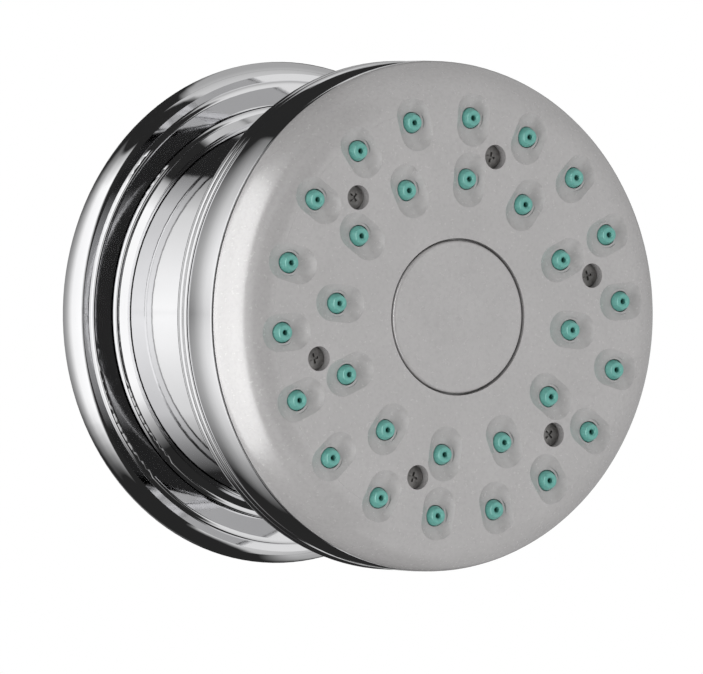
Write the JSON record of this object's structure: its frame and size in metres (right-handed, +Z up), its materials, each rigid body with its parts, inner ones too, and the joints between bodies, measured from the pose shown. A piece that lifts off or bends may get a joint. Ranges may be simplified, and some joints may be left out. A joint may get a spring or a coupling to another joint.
{
  "type": "shower body jet",
  "caption": "Round wall-mounted shower body jet: domed flange, tapered neck and a swivelling disc head with soft nozzles in oval dimples.",
  "frame": {"origin": "centre of the flange's back on the wall plane, on the spray axis", "axes": "+Z up, +Y into the wall along the inlet thread, the water leaves along -Y"},
  "size_m": [0.1002, 0.081, 0.1002],
  "materials": {
    "chrome": "polished",
    "satin_face": "satin",
    "silicone": "matte",
    "brass": "turned",
    "plated_brass": "nickel plated",
    "black_rubber": "matte",
    "foam": "closed cell foam",
    "bearing_plastic": "smooth",
    "dark_plastic": "moulded",
    "pale_plastic": "moulded",
    "green_plastic": "moulded",
    "steel": "plain",
    "fibre": "pressed fibre"
  },
  "bodies": {
    "wall_side": {"wall_gasket": "foam", "wall_flange": "chrome", "neck": "chrome", "foot_seal": "black_rubber", "inlet_body": "brass", "inlet_strainer": "steel", "flow_restrictor": "green_plastic", "stud_gasket": "black_rubber", "clamp_washer": "fibre", "ball_stud": "plated_brass"},
    "liner": {"ball_liner": "bearing_plastic"},
    "seal": {"ball_seal": "black_rubber"},
    "head": {"socket_nut": "plated_brass", "head_shell": "chrome", "shell_seal": "black_rubber", "chamber_base": "dark_plastic", "flow_baffle": "pale_plastic", "nozzle_mat": "silicone", "face_plate": "satin_face", "rim_gasket": "black_rubber", "face_screws": "steel", "centre_cap": "satin_face"}
  },
  "joints": [
    {"name": "head_tilt", "type": "hinge", "parent": "wall_side", "child": "liner", "pos_m": [0, -0.044, 0], "axis": [1, 0, 0], "range_deg": [-8, 8]},
    {"name": "head_pan", "type": "hinge", "parent": "liner", "child": "seal", "pos_m": [0, -0.044, 0], "axis": [0, 0, 1], "range_deg": [-8, 8]},
    {"name": "head_spin", "type": "hinge", "parent": "seal", "child": "head", "pos_m": [0, -0.044, 0], "axis": [0, 1, 0], "continuous": true}
  ]
}
